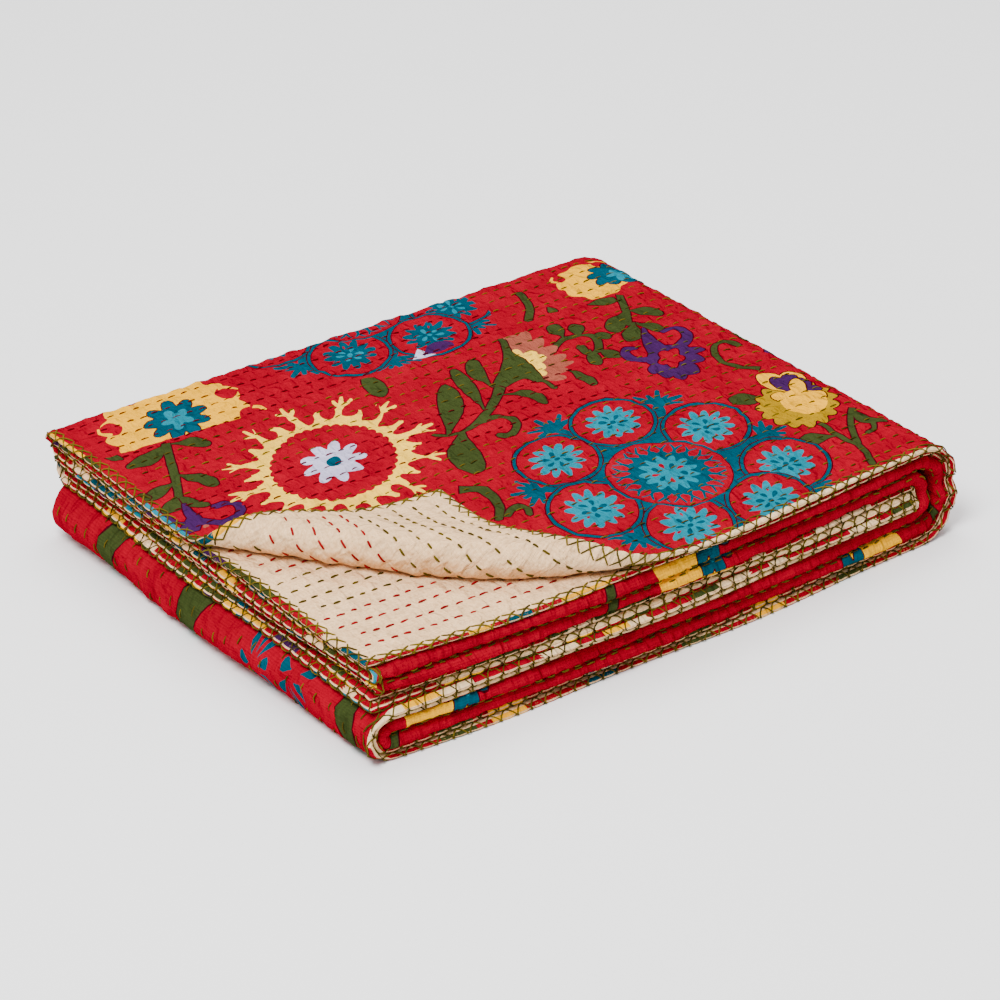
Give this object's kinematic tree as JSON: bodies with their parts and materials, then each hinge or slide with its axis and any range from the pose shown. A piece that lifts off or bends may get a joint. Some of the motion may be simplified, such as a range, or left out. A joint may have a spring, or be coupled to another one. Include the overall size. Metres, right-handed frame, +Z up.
{
  "type": "folded kantha quilt",
  "caption": "Hand-stitched cotton throw with a printed face and a plain backing, folded twice each way, one corner turned back.",
  "frame": {"origin": "centre of the folded pile's bounding box, on the surface that it rests on", "axes": "+Z up, +X along the pile's long side, -Y towards the open front with the turned-back corner at the left"},
  "size_m": [0.3968, 0.333, 0.0781],
  "materials": {
    "printed_cotton": "soft printed cotton, hand quilted",
    "plain_cotton": "soft natural cotton, hand quilted"
  },
  "bodies": {
    "root": {"quilt_face": "printed_cotton", "quilt_backing": "plain_cotton"}
  },
  "joints": []
}
